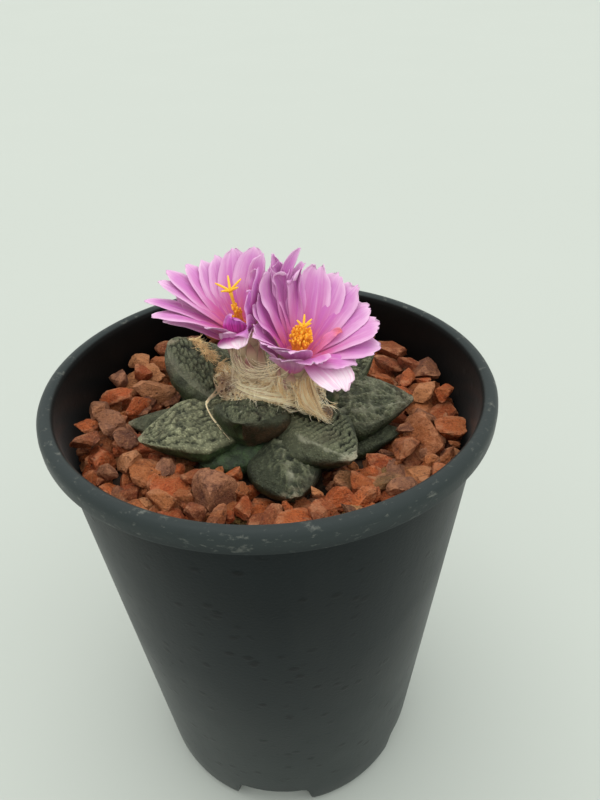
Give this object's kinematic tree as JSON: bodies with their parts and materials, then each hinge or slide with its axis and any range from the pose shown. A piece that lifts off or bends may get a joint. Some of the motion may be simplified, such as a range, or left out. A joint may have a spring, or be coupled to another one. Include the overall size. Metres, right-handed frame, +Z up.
{
  "type": "potted cactus",
  "caption": "Low woolly rosette cactus with warty triangular tubercles and open pink flowers, set in red crushed stone in a tapering black plastic nursery pot with a rolled rim.",
  "frame": {"origin": "middle of the pot's footprint on the surface it stands on", "axes": "+Z up along the pot's centre line, +X to the right and +Y to the back as seen from the pictured front"},
  "size_m": [0.102, 0.102, 0.1515],
  "materials": {
    "pot_plastic": "satin, dusty",
    "soil": "matte, loose",
    "crushed_stone": "matte, rough",
    "cactus_skin": "matte, warty",
    "wool": "matte, woolly",
    "petal": "satin, soft",
    "stamen": "matte"
  },
  "bodies": {
    "root": {"pot": "pot_plastic", "soil": "soil", "gravel": "crushed_stone", "cactus_body": "cactus_skin", "crown_wool": "wool", "flower_left_petals": "petal", "flower_right_petals": "petal", "flower_left_stamens": "stamen", "flower_right_stamens": "stamen"}
  },
  "joints": []
}
